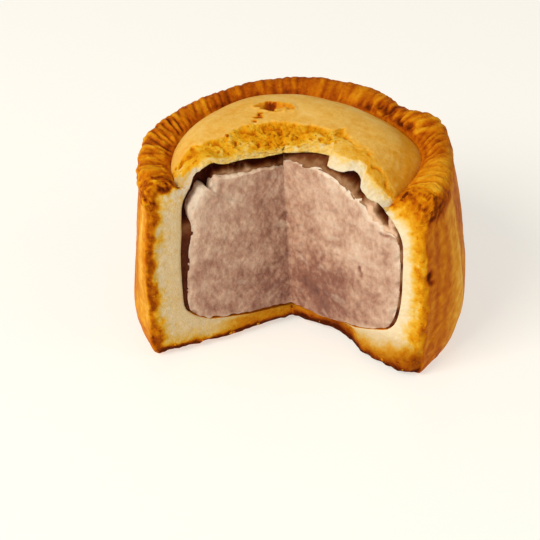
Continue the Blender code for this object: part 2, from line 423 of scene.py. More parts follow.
def pastry_material():
    """Hot water crust: a matt browned skin over open, cream to golden crumb.

    The "bake" attribute says how brown, "crumb" how torn and open, and "damp" how
    far the meat's juices have seeped in, with painted shade added low on the right
    cut face and on the left one.  Blotches are 7 mm, flecks 1.1 mm and scorched
    specks 1.5 mm across.  The real grain of flour is drawn coarser, at 0.8 mm, as
    it would be too fine to show.
    """
    made, tree, shader = new_material("hot_water_crust_pastry")
    where = add_node(tree, "TexCoord", "Object", {})
    bake = add_node(tree, "Attribute", "Fac", {}, attribute_name="bake")
    crumb = add_node(tree, "Attribute", "Fac", {}, attribute_name="crumb")
    damp_and_shade = add_node(tree, "Attribute", "Fac", {}, attribute_name="damp_and_shade")

    # How brown: the bake, blotches and flecks about it, and specks on browned crumb
    blotches = add_node(tree, "TexNoise", "Fac", {"Vector": where, "Scale": 1.0 / (7.0 * MM),
                                                  "Detail": 3.0, "Roughness": 0.55})
    flecks = add_node(tree, "TexNoise", "Fac", {"Vector": where, "Scale": 1.0 / (1.1 * MM),
                                                "Detail": 4.0, "Roughness": 0.65})
    broad = add_node(tree, "Math", "Value", {0: blotches, 1: 0.5}, operation="SUBTRACT")
    fine = add_node(tree, "Math", "Value", {0: flecks, 1: 0.5}, operation="SUBTRACT")
    weight = add_node(tree, "Math", "Value", {0: crumb, 1: 0.16, 2: 0.26}, operation="MULTIPLY_ADD")
    tone = add_node(tree, "Math", "Value", {0: broad, 1: 0.20, 2: bake}, operation="MULTIPLY_ADD")
    tone = add_node(tree, "Math", "Value", {0: fine, 1: weight, 2: tone}, operation="MULTIPLY_ADD")
    shifted = add_node(tree, "Mapping", "Vector", {"Vector": where, "Location": (0.31, 0.17, 0.05)})
    scorches = add_node(tree, "TexNoise", "Fac", {"Vector": shifted, "Scale": 1.0 / (1.5 * MM),
                                                  "Detail": 3.0, "Roughness": 0.6})
    specks = add_node(tree, "MapRange", "Result", {"Value": scorches, "From Min": 0.57,
                                                   "From Max": 0.70, "To Max": 0.16})
    browned = add_node(tree, "Math", "Value", {0: bake, 1: 0.30}, operation="GREATER_THAN")
    weight = add_node(tree, "Math", "Value", {0: crumb, 1: browned}, operation="MULTIPLY")
    tone = add_node(tree, "Math", "Value", {0: specks, 1: weight, 2: tone}, operation="MULTIPLY_ADD")

    skin = add_node(tree, "ValToRGB", "Color", {"Fac": tone}, stops=(
        (0.0, "#F4D894"), (0.28, "#EAB858"), (0.42, "#DE9820"), (0.60, "#C67006"),
        (0.75, "#AE5002"), (0.90, "#883400"), (1.0, "#5A2000")))
    inside = add_node(tree, "ValToRGB", "Color", {"Fac": tone}, stops=(
        (0.0, "#ECE2CE"), (0.10, "#E9DABA"), (0.21, "#EAC974"), (0.33, "#E8B028"),
        (0.46, "#DC9208"), (0.62, "#C87004"), (0.78, "#A04A02"), (1.0, "#622402")))
    soaked_and_shaded = add_node(tree, "Mix", "Result", {"Factor": damp_and_shade, "A": inside, "B": linear("#A8865C")},
                      data_type="RGBA", blend_type="MULTIPLY")
    colour = add_node(tree, "Mix", "Result", {"Factor": crumb, "A": skin, "B": soaked_and_shaded},
                      data_type="RGBA")
    dull = add_node(tree, "Math", "Value", {0: crumb, 1: 0.20, 2: 0.58}, operation="MULTIPLY_ADD")
    grain = add_node(tree, "TexNoise", "Fac", {"Vector": where, "Scale": 1.0 / (0.8 * MM),
                                               "Detail": 4.0, "Roughness": 0.7})
    depth = add_node(tree, "Math", "Value", {0: crumb, 1: 0.60, 2: 0.22}, operation="MULTIPLY_ADD")
    bump = add_node(tree, "Bump", "Normal", {"Height": grain, "Strength": depth, "Distance": 0.7 * MM})
    set_inputs(tree, shader, {"Base Color": colour, "Roughness": dull, "Normal": bump,
                              "Specular IOR Level": 0.04, "Subsurface Weight": 0.08,
                              "Subsurface Radius": (1.0, 0.5, 0.2), "Subsurface Scale": 1.0 * MM})
    return made


pastry = pastry_material()

lid_outer, lid_right, lid_left = station_paths(LID_STATIONS)
lid, across_layer, along_layer = spun_section(len(lid_outer) - 1, LID_ACROSS, LID_STEPS,
                                              INNER_THINNING)
bake_layer = lid.verts.layers.float.new("bake")
crumb_layer = lid.verts.layers.float.new("crumb")
damp_and_shade_layer = lid.verts.layers.float.new("damp_and_shade")
for vert in lid.verts:
    across, row, turn, part = section_reading(vert, across_layer, along_layer)
    top = 1.0 - across
    outer = lid_outer[row]
    inner = lid_right[row].lerp(lid_left[row], part)
    spot = outer.lerp(inner, across)
    radius = spot.x + crease_shift(spot.x, turn) * top
    point = placed(radius, spot.y, turn)

    # The knife's edge and the break beside it
    run_right, run_left = cut_runs(point)
    right = along(BACK_UNDER_RIGHT, run_right) + along(BACK_LEAN_RIGHT, run_right) * top
    left = along(BACK_LEAN_LEFT, run_left) * top
    lumps = 0.55 * rough(point, 2.6) + 0.25 * rough(point, 0.9)
    right = max(right + lumps, -0.3) if run_right > 0.0 else 0.0
    left = max(left + lumps, -0.3) if run_left > 0.0 else 0.0
    push_back(point, right, left)

    # Torn crumb in the broken band: lumps, pits and a ledge.  It is calmer where
    # the band runs out along the right cut.
    share, drop, run, inside, side = band_share(point)
    calm = step(9.0, 12.5, run) if side > 0.0 else 0.0
    broken = step(0.0, 0.06 + 0.26 * calm, share)
    torn_zone = broken * (1.0 - 0.85 * calm)
    ragged = 0.85 * rough(point + Vector((9, 4, 1)), 2.8, 3) + 0.30 * cell(point, 1.6) - 0.18
    pits = step(0.34, 0.62, rough(point + Vector((3, 7, 5)), 1.6, 2)) * torn_zone
    pit_line = hump(inside, along(PITS_RIGHT, run), 0.6) * calm
    pits += pit_line * step(-0.25, 0.35, rough(point + Vector((1, 1, 8)), 1.6, 2))
    ledge = hump(share, 0.20, 0.07) * step(-0.1, 0.3, rough(point, 2.2, 2)) * (1.0 - calm)
    sink = 0.15 - 0.12 * calm + drop - ragged * 0.70 * torn_zone + 0.6 * pits + 0.35 * ledge
    hole, hole_tone = steam_hole(point)
    thick = (outer - inner).length
    point.z -= top * min(max(broken * sink, 0.0) + hole, max(thick - 1.1, 0.3))

    # The dome's skin: soft waves, and fine wrinkles by the rim on the right
    wrinkle = math.cos(math.tau * math.hypot(point.x, point.y) / 1.6 + 3.5 * rough(point, 6.0))
    wrinkle *= step(20.0, 24.0, radius) * step(20.0, -5.0, abs(turn + 12.0))
    smooth = top * (1.0 - broken)
    point.z += smooth * (0.16 * rough(point, 9.0) + 0.03 * rough(point, 2.0) + 0.05 * wrinkle)

    # Colour: pale on the dome, browner towards the crease, golden in the band, with painted shade in
    # its pits and ledge and painted highlight on its lumps
    edge = step(0.62, 1.02, math.hypot(point.x, point.y) / LID_RADIUS)
    to_right = 0.5 + 0.5 * math.cos(math.radians(turn - (-10.0)))
    skin = 0.30 + 0.05 * rough(point, 8.0) + 0.045 * rough(point, 2.6, 3)
    skin += edge * (0.03 + 0.11 * to_right * to_right) + 0.025 * wrinkle + hole_tone
    golden = 0.36 - 0.01 * calm + 0.12 * rough(point, 4.5) * (1.0 - 0.6 * calm)
    # painted shade darkens the pits and the ledge's groove, and painted highlight lightens the raised
    # lumps
    golden += 0.24 * pits + 0.22 * ledge - 0.13 * ragged * (1.0 - 0.7 * calm)
    pale = step(0.72 - 0.30 * calm, 1.0, share)
    golden += (0.24 - 0.04 * calm - golden) * 0.9 * pale
    bare = 0.0
    if side < 0.0:
        bare = step(0.6, -0.6, inside + 0.5 * rough(point, 1.5) - along(PALE_LEFT, run))
    golden += (0.21 + 0.06 * rough(point, 1.2) - golden) * bare

    # Colour of the section: cream where the lid is thick, gold elsewhere
    cream = step(9.0, 13.0, run_right) * step(150.0, 90.0, turn)
    section = (0.24 - 0.14 * bare) * (1.0 - cream) + cream * (0.03 + 0.20 * top ** 1.5)
    section += 0.05 * rough(point, 1.0) + 0.04 * rough(point, 3.0)
    cap = 1.0 if on_cut_face(turn) and across > 0.02 else 0.0
    face = broken * golden + (1.0 - broken) * skin
    vert[bake_layer] = section if cap else face
    vert[crumb_layer] = max(broken * (0.4 + 0.6 * torn_zone), 0.7 * cap)
    vert[damp_and_shade_layer] = 0.40 * bare
    vert.co = point
bmesh.ops.remove_doubles(lid, verts=lid.verts, dist=WELD)
pastry_lid = finished_object("pastry_lid", lid, pastry)
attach(pastry_lid, "root")
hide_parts("crust")

# ---------------------------------------------------------------- the case
# One sheet of the same pastry raised by hand into a wall and a base.  Its top
# edge is rolled over the lid and crimped between finger and thumb, then baked
# darker than the lid as it stands proud.  The knife shows its pale inside.
CASE_STEPS = 355
CASE_ACROSS = 20

# Sections, as for the lid, from under the lid's edge over the rim to the foot.
CASE_STATIONS = (
    ((29.0, 46.4), (27.6, 46.4), (26.1, 46.8), 5),
    ((29.7, 48.2), (28.3, 45.9), (26.6, 46.4), 5),
    ((31.2, 49.5), (29.0, 45.2), (27.1, 45.8), 6),
    ((33.0, 50.3), (29.8, 44.3), (27.6, 45.1), 6),
    ((34.8, 50.7), (30.5, 43.4), (28.1, 44.3), 6),
    ((36.6, 50.1), (31.1, 42.5), (28.5, 43.4), 6),
    ((37.6, 48.5), (31.8, 41.4), (28.8, 42.3), 7),
    ((37.9, 46.2), (32.4, 40.1), (28.9, 41.0), 7),
    ((38.0, 43.8), (32.8, 38.5), (29.1, 39.5), 12),
    ((39.0, 38.0), (33.0, 35.5), (29.3, 36.5), 16),
    ((39.9, 30.0), (33.2, 29.5), (30.0, 30.0), 16),
    ((40.2, 22.0), (33.1, 21.5), (30.2, 22.0), 16),
    ((39.9, 14.0), (32.1, 15.5), (30.0, 14.5), 14),
    ((39.8, 7.0), (30.0, 12.0), (28.3, 11.6), 10),
    ((39.5, 2.4), (27.3, 10.5), (26.0, 9.8), 5),
    ((38.6, 0.6), (24.6, 9.4), (23.9, 8.6), 5),
    ((36.8, 0.0), (22.0, 8.5), (21.5, 7.9), 10),
    ((28.0, 0.0), (18.2, 7.4), (17.0, 7.3), 12),
    ((18.0, 0.0), (12.0, 6.2), (12.0, 6.4), 8),
    ((8.0, 0.0), (6.0, 5.7), (6.0, 6.0), 6),
    ((0.0, 0.0), (0.0, 5.2), (0.0, 5.2), 0),
)

# How far the base's broken edge stands back from the right cut, and how far the
# rolled rim's upper side does.
BACK_BASE_RIGHT = ((-3, 0.0), (0, 0.6), (5, 1.8), (12, 3.2), (17, 2.2), (20.5, 0.0), (26, -0.9),
                   (33, -1.2), (38, -0.3))
BACK_COLLAR_RIGHT = 5.2
BACK_COLLAR_LEFT = 1.5

# The crimped rim, by direction round the pie: how deep the flutes are, how far
# they slant from straight across, and how lumpy and torn the paste is.
FLUTES = 95
CRIMP_RADIUS = 36.0
FLUTE_DEPTH = ((-40, 0.05), (-8, 0.10), (0, 0.75), (14, 0.75), (20, 0.25), (50, 0.15), (70, 0.25),
               (120, 0.30), (134, 0.85), (146, 1.0), (160, 0.9), (172, 0.5), (184, 0.2), (206, 0.1))
FLUTE_SLANT = ((-40, -1.3), (16, -1.3), (60, 0.1), (122, 0.2), (140, 1.2), (155, 1.6), (206, 1.6))
RIM_TORN = ((-40, 0.75), (-20, 0.45), (-4, 0.35), (14, 0.6), (22, 1.0), (46, 1.0), (56, 0.1),
            (150, 0.2), (164, 0.5), (178, 0.8), (190, 1.0), (206, 1.0))

# Small tears in the wall by the right cut: direction and height, half widths
# both ways, and depth.  Then a pit in the rim, by direction and radius, and a
# bulge of it, by direction.
WALL_TEARS = ((-38.9, 31.0, 1.3, 1.5, 1.0), (-36.8, 29.0, 1.2, 0.8, 0.6))
RIM_PIT = (42.0, 32.0)
RIM_BULGE = 26.0

# Colour across the cut wall, from the outside to the inside.
BANDS_RIGHT = ((0.0, 0.60), (0.10, 0.50), (0.28, 0.41), (0.46, 0.33), (0.60, 0.20), (0.72, 0.08),
               (1.0, 0.02))
BANDS_LEFT = ((0.0, 0.56), (0.05, 0.72), (0.19, 0.70), (0.26, 0.38), (0.34, 0.20), (0.48, 0.11),
              (0.75, 0.07), (1.0, 0.04))

case_outer, case_right, case_left = station_paths(CASE_STATIONS)
case, across_layer, along_layer = spun_section(len(case_outer) - 1, CASE_ACROSS, CASE_STEPS,
                                               INNER_THINNING)
bake_layer = case.verts.layers.float.new("bake")
crumb_layer = case.verts.layers.float.new("crumb")
damp_and_shade_layer = case.verts.layers.float.new("damp_and_shade")
for vert in case.verts:
    across, row, turn, part = section_reading(vert, across_layer, along_layer)
    top = 1.0 - across
    around = math.radians(turn)
    on_right = turn < 90.0
    outer = case_outer[row].copy()
    before = case_outer[max(row - 1, 0)]
    after = case_outer[min(row + 1, len(case_outer) - 1)]
    face = Vector((before.y - after.y, after.x - before.x)).normalized()
    on_collar = step(43.0, 46.0, outer.y) * step(29.2, 30.5, outer.x)
    wall = 1.0 - on_collar
    rim_x = math.cos(around) * CRIMP_RADIUS
    rim_y = math.sin(around) * CRIMP_RADIUS
    place = Vector((rim_x, rim_y, outer.y * 0.9))
    ring = Vector((rim_x, rim_y, outer.x * 0.25))

    # Crimping: slanted flutes that fade out down the rim's outer side
    sweep = along(FLUTE_SLANT, turn) * (outer.x - 34.0) + (RIM_TOP - outer.y) * 0.05
    wave = 0.5 + 0.5 * math.cos(FLUTES * around + sweep + 2.6 * rough(ring, 7.0))
    groove = wave ** 3 * max(0.80 + 1.2 * rough(ring + Vector((4, 4, 4)), 4.0), 0.1)
    groove *= on_collar * along(FLUTE_DEPTH, turn)
    groove *= step(37.6, 35.6, outer.x + 0.8 * rough(ring, 3.0))

    # Lumps, flakes, gashes and pits where the paste tore
    torn = on_collar * along(RIM_TORN, turn)
    streak = rough(ring + Vector((1, 6, 2)), 1.5, 2) * step(-12.0, 4.0, turn)
    scab = rough(place + Vector((5, 1, 2)), 2.4, 3)
    flakes = torn * rough(place + Vector((6, 2, 7)), 0.9, 2)
    lumps = 0.36 * rough(place, 6.0, 2) + on_collar * (1.0 - torn) * 0.16 * streak
    lumps += (0.12 + 0.60 * torn) * scab + 0.13 * flakes
    lumps += 0.8 * on_collar * hump(turn, RIM_BULGE, 5.0)
    gash = step(0.18, 0.45, rough(place + Vector((2, 9, 4)), 2.6, 2)) * torn
    gash *= step(34.5, 31.0, outer.x)
    pit = hump(turn, RIM_PIT[0], 2.4) * hump(outer.x, RIM_PIT[1], 1.6) * on_collar
    tear = 0.0
    for torn_at, height, half_width, half_height, depth in WALL_TEARS:
        tear += depth * wall * hump(turn, torn_at, half_width) * hump(outer.y, height, half_height)
    lift = on_collar * (lumps - 0.75 * groove) - 1.6 * pit - 1.0 * gash - 1.1 * tear
    tall = Vector((rim_x, rim_y, place.z * 0.35))
    lift += wall * (0.40 * rough(tall, 9.0) + 0.12 * rough(tall, 3.0) + 0.05 * rough(place, 1.4))
    outer += face * lift

    inner = case_right[row].lerp(case_left[row], part)
    spot = outer.lerp(inner, across)
    high = step(12.0, 44.0, outer.y)
    shift = crease_shift(max(outer.x, LID_RADIUS), turn) * high * top
    point = placed(spot.x + (shift if outer.x > 20.0 else 0.0), spot.y, turn)

    # The knife's edge: crumbly outside, close and smooth inside, and broken back
    # at the base and under the rim's roll
    run_right, in_right, _ = cut_place(point, CUT_RIGHT, 1.0)
    run_left, in_left, _ = cut_place(point, CUT_LEFT, -1.0)
    base = step(8.5, 5.0, point.z)
    collar = step(39.5, 50.5, point.z)
    crumbly = step(0.75, 0.15, across)
    grain = (0.12 + 0.30 * crumbly) * rough(point, 2.0) + (0.05 + 0.16 * crumbly) * rough(point, 0.8)
    grain += collar * crumbly * 0.40 * rough(point, 1.1, 2)
    right = grain + BACK_COLLAR_RIGHT * collar * top ** 0.8
    right += along(BACK_BASE_RIGHT, run_right) * base
    left = grain + BACK_COLLAR_LEFT * collar * top + 0.8 * base * step(20.0, 4.0, run_left)
    corner = (1.1 + 1.3 * step(9.0, 1.0, point.z)) * step(0.16, 0.0, across) * (1.0 + rough(point, 3.0))
    push_back(point, right + corner + 0.15, left + 0.4 * corner + 0.15)
    point.z += 0.9 * step(20.0, 8.0, run_right) * base * top * step(6.0, 0.0, in_right)
    point.z = max(point.z, 0.0)

    # Colour of the wall: dark orange with drips down it, with painted highlights as lighter strips by
    # the cuts
    drip = rough(Vector((rim_x, rim_y, place.z * 0.10)), 3.0, 2)
    skin = 0.62 + 0.17 * drip + 0.07 * rough(place, 7.0) + 0.12 * rough(place, 1.5, 3)
    # painted shade: the small tears in the wall are painted dark; the browner foot is the bake
    skin += 0.6 * tear + 0.07 * step(12.0, 2.0, outer.y)
    # painted highlights: a light upright band on the wall near the right cut, and a lit strip near the
    # left cut
    skin -= 0.18 * hump(turn, -18.0, 6.5) + 0.13 * step(186.0, 198.0, turn)

    # Colour of the rim: darkest in its flutes, gashes and pits, which is painted shade in those
    # recesses, and lighter on raised scabs and flakes as painted highlight
    # painted shade: the flutes are painted darker
    rim_tone = 0.62 + (0.22 + 0.18 * step(30.0, 110.0, turn)) * groove
    rim_tone += 0.08 * rough(place, 5.0) + 0.16 * streak * (1.0 - torn)
    # painted highlight: raised scabs and flakes are painted lighter
    rim_tone += torn * (0.30 * rough(place + Vector((8, 3, 4)), 1.9, 3) - 0.26 * scab)
    rim_tone -= 0.14 * flakes
    # painted shade in the pits and gashes
    rim_tone += 0.40 * pit + 0.34 * gash + 0.08 * step(60.0, 90.0, turn) * step(140.0, 120.0, turn)
    # painted shade: the rim's inner edge along the crease with the lid is painted darker
    rim_tone += 0.14 * step(31.6, 29.6, outer.x + 0.6 * rough(ring, 1.6))
    flank = step(36.3, 37.8, outer.x)
    rim_end = 0.22 * flank * step(-16.0, -26.0, turn) - 0.15 * (1.0 - flank)
    rim_tone += rim_end * step(2.0, -8.0, turn)
    patch = step(0.05, 0.5, rough(place + Vector((3, 3, 9)), 3.4, 2))
    rim_tone -= 0.16 * patch * step(125.0, 140.0, turn)
    near = step(9.0, 3.0, in_right) * step(0.0, 5.0, run_right)
    near = max(near, step(6.0, 1.5, in_left) * step(0.0, 5.0, run_left))
    rim_tone += near * (0.04 + 0.30 * rough(point, 1.5, 3))
    skin = skin * wall + max(rim_tone, 0.42) * on_collar

    # Colour of the section: gold or brown outside, cream inside, darker low down, partly as painted
    # shade
    bands = BANDS_RIGHT if on_right else BANDS_LEFT
    inward = 0.42 if on_right else 0.14
    section = along(bands, across + 0.12 * rough(point, 3.0) - inward * collar)
    upright = Vector((point.x, point.y, point.z * 0.4))
    section += 0.05 * rough(point, 1.2) + crumbly * (1.0 - collar) * 0.20 * rough(upright, 1.5, 2)
    section += collar * (0.04 + 0.30 * rough(point, 1.8, 3))
    section += collar * crumbly * 0.32 * step(0.28, 0.50, rough(point + Vector((4, 4, 2)), 1.7, 2))
    # painted shade: the base's section is painted browner by the tip and more on the right cut face,
    # partly the bottom crust's own soaked colour
    section += 0.30 * base * step(22.0, 12.0, max(run_right, run_left))
    section += (0.10 + 0.08 * step(90.0, 0.0, turn)) * base
    section += 0.40 * step(3.6, 0.6, point.z + 0.8 * rough(point, 2.2))
    cap = 1.0 if on_cut_face(turn) and across > 0.01 else 0.0
    vert[bake_layer] = section if cap else skin
    vert[crumb_layer] = 0.12 + on_collar * (0.3 + 0.3 * near) + 0.2 * torn
    if cap:
        vert[crumb_layer] = max(0.62 + 0.3 * crumbly, collar)
    # part soaking, part painted shade: the lower right cut face and, more inwards, the left cut face
    # are greyed
    soaked_and_shaded = 0.65 * step(13.0, 6.0, point.z) if on_right else 0.10 + 0.50 * across
    vert[damp_and_shade_layer] = soaked_and_shaded if cap else 0.0
    vert.co = point
bmesh.ops.remove_doubles(case, verts=case.verts, dist=WELD)
pastry_case = finished_object("pastry_case", case, pastry)
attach(pastry_case, "root")
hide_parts("crust")

# ---------------------------------------------------------------- the jelly
# Pork stock poured in through the lid's steam hole after baking, set to a dark
# brown jelly.  It fills the space above the meat and a thin layer down its side,
# and stands back from the knife's cut with hollows under the lid.
JELLY_STEPS = 40
JELLY_ACROSS = 12

# Sections: the crust's and the meat's side at the right cut, both again at the
# left cut, and the rows of mesh up to the next station.
JELLY_STATIONS = (
    ((0.0, 52.7), (0.0, 50.0), (0.0, 52.6), (0.0, 48.6), 12),
    ((5.0, 52.9), (5.0, 50.7), (5.0, 52.8), (5.0, 49.2), 12),
    ((10.0, 53.0), (10.0, 51.4), (10.0, 53.3), (10.8, 49.3), 12),
    ((15.0, 53.0), (14.5, 50.4), (15.0, 53.0), (16.3, 49.3), 9),
    ((18.8, 53.0), (17.2, 48.8), (20.0, 53.2), (19.2, 49.3), 7),
    ((21.3, 50.3), (19.8, 46.8), (22.9, 51.4), (20.4, 46.6), 6),
    ((23.5, 48.2), (22.2, 46.1), (24.4, 50.7), (20.8, 44.3), 6),
    ((25.8, 48.1), (23.8, 43.6), (25.4, 49.2), (21.6, 46.0), 5),
    ((27.7, 46.5), (26.0, 41.9), (26.2, 47.0), (23.6, 46.7), 6),
    ((29.4, 44.7), (28.4, 41.1), (27.4, 45.5), (24.6, 44.8), 6),
    ((31.1, 42.5), (30.0, 40.6), (28.4, 43.9), (26.2, 42.7), 7),
    ((32.6, 39.6), (31.4, 38.9), (28.9, 41.2), (27.0, 41.0), 10),
    ((33.0, 35.5), (32.1, 35.2), (29.3, 36.5), (26.3, 36.5), 12),
    ((33.2, 29.5), (32.45, 29.3), (30.0, 30.0), (27.5, 30.5), 14),
    ((33.1, 21.5), (32.3, 21.5), (30.2, 22.0), (28.5, 21.5), 12),
    ((32.1, 16.0), (31.4, 16.2), (30.0, 15.5), (28.8, 15.8), 6),
    ((30.7, 12.4), (30.1, 12.9), (29.0, 12.0), (28.4, 12.5), 0),
)


def jelly_material():
    """Set stock: moist and brown, light where it lies on the meat, with painted shade making it dark in
    its hollows and down its left side.

    The "hollow" attribute says how dark.  Clots of fat in it are 1.6 mm across.
    """
    made, tree, shader = new_material("set_pork_jelly")
    where = add_node(tree, "TexCoord", "Object", {})
    hollow_shade = add_node(tree, "Attribute", "Fac", {}, attribute_name="hollow_shade")
    mottle = add_node(tree, "TexNoise", "Fac", {"Vector": where, "Scale": 1.0 / (1.6 * MM),
                                                "Detail": 4.0, "Roughness": 0.6})
    tone = add_node(tree, "Math", "Value", {0: hollow_shade, 1: 0.15}, operation="SUBTRACT")
    tone = add_node(tree, "Math", "Value", {0: mottle, 1: 0.30, 2: tone}, operation="MULTIPLY_ADD")
    colour = add_node(tree, "ValToRGB", "Color", {"Fac": tone}, stops=(
        (0.0, "#DDB898"), (0.10, "#B88F6E"), (0.22, "#98704E"), (0.42, "#7A4C2A"),
        (0.62, "#602C12"), (0.88, "#401404")))
    bump = add_node(tree, "Bump", "Normal", {"Height": mottle, "Strength": 0.5, "Distance": 0.5 * MM})
    set_inputs(tree, shader, {"Base Color": colour, "Roughness": 0.45, "Normal": bump,
                              "Specular IOR Level": 0.05})
    return made


# Along each cut: the jelly's own tone, how dark the painted shade in its hollows
# under the lid is, and how far down it reaches.
TONE_RIGHT = ((0, 0.32), (14, 0.30), (16.5, 0.22), (21.5, 0.20), (23, -0.02), (31, -0.05),
              (34, 0.45))
TONE_LEFT = ((0, 0.45), (6, 0.35), (8, 0.12), (14, 0.16), (17, 0.5), (27, 0.6))
HOLLOW_SHADE_RIGHT = ((0, 0.3), (14, 0.3), (16, 0.7), (20.5, 0.75), (21.6, 0.2), (24.8, 0.15),
                (25.6, 1.0), (27.3, 1.0), (28.0, 0.1), (29.6, 0.1), (30.6, 0.6), (32, 0.6))
REACH_RIGHT = ((0, 0.55), (15, 0.6), (24, 0.6), (26, 0.75), (27.5, 0.75), (30, 0.7))
HOLLOW_SHADE_LEFT = ((0, 0.4), (3, 0.7), (7, 0.9), (17, 0.9), (19, 0.7), (25, 0.6), (27, 0.3))
REACH_LEFT = ((0, 0.6), (7, 0.75), (9, 0.60), (17, 0.60), (19.5, 1.3), (24, 1.3), (25.5, 0.8))

jelly_rows = [station[4] for station in JELLY_STATIONS[:-1]]
jelly_paths = [smooth_path([station[side] for station in JELLY_STATIONS], jelly_rows)
               for side in range(4)]
jelly, across_layer, along_layer = spun_section(sum(jelly_rows), JELLY_ACROSS, JELLY_STEPS, 1)
hollow_shade_layer = jelly.verts.layers.float.new("hollow_shade")
for vert in jelly.verts:
    across, row, turn, part = section_reading(vert, across_layer, along_layer)
    crust_side = jelly_paths[0][row].lerp(jelly_paths[2][row], part)
    meat_side = jelly_paths[1][row].lerp(jelly_paths[3][row], part)
    spot = crust_side.lerp(meat_side, across * 1.16 - 0.03)
    point = placed(spot.x, spot.y, turn)
    run_right, run_left = cut_runs(point)
    under = along(BACK_UNDER_RIGHT, run_right)
    ragged = 0.22 * rough(point, 1.8, 3)
    reach = along(REACH_RIGHT, run_right) - across - ragged
    void_shade_right = along(HOLLOW_SHADE_RIGHT, run_right) * step(-0.10, 0.10, reach)
    reach = along(REACH_LEFT, run_left) - across - ragged
    void_shade_left = along(HOLLOW_SHADE_LEFT, run_left) * step(-0.10, 0.10, reach)
    upper = step(38.0, 41.0, point.z)
    loose = 0.35 * rough(point, 2.0) + 0.25 * rough(point, 0.8)
    right = (under + 0.4) * (1.0 - across) + 0.4 + upper * (2.6 * void_shade_right + loose)
    left = 0.7 + upper * (3.0 * void_shade_left + 0.2) + loose
    push_back(point, right, left)
    # painted shade: the hollows under the lid are painted dark, and on the left the side below the rim
    # is painted darker
    if turn < 90.0:
        tone = along(TONE_RIGHT, run_right) + void_shade_right
        side_tone = 0.42 + 0.45 * rough(point, 4.0, 2) + 0.25 * step(22.0, 14.0, point.z)
    else:
        tone = along(TONE_LEFT, run_left) + void_shade_left
        side_tone = 0.45 + 0.32 * step(38.0, 33.0, point.z)
    vert[hollow_shade_layer] = upper * tone + (1.0 - upper) * side_tone + 0.10 * rough(point, 1.2)
    vert.co = point
bmesh.ops.remove_doubles(jelly, verts=jelly.verts, dist=WELD)
set_jelly = finished_object("set_jelly", jelly, jelly_material())
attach(set_jelly, "root")
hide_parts("jelly")

# ---------------------------------------------------------------- the filling
# Chopped and seasoned pork, packed in raw and cooked in the crust to one firm
# block.  Its cut face is pink beige with paler fat, and its top is craggy.
PORK_STEPS = 60
PORK_ACROSS = 96

# Sections: the meat's outside at the right and at the left cut, and the rows.
PORK_STATIONS = (
    ((0.0, 50.0), (0.0, 48.6), 16),
    ((5.0, 50.7), (5.0, 49.2), 16),
    ((10.0, 51.4), (10.8, 49.3), 16),
    ((14.5, 50.4), (16.3, 49.3), 12),
    ((17.2, 48.8), (19.2, 49.3), 9),
    ((19.8, 46.8), (20.4, 46.6), 8),
    ((22.2, 46.1), (20.8, 44.3), 8),
    ((23.8, 43.6), (21.6, 46.0), 8),
    ((26.0, 41.9), (23.6, 46.7), 8),
    ((28.4, 41.1), (24.6, 44.8), 7),
    ((30.0, 40.6), (26.2, 42.7), 7),
    ((31.4, 38.9), (27.0, 41.0), 10),
    ((32.1, 35.2), (26.3, 36.5), 14),
    ((32.45, 29.3), (27.5, 30.5), 17),
    ((32.3, 21.5), (28.5, 21.5), 14),
    ((31.4, 16.0), (28.8, 15.4), 9),
    ((29.7, 12.3), (27.9, 11.6), 9),
    ((26.9, 10.6), (24.2, 8.9), 10),
    ((22.4, 8.9), (19.0, 7.9), 10),
    ((18.2, 7.8), (13.0, 7.3), 16),
    ((10.8, 6.8), (7.0, 7.1), 14),
    ((5.0, 7.0), (3.5, 7.0), 12),
    ((0.0, 7.0), (0.0, 7.0), 0),
)


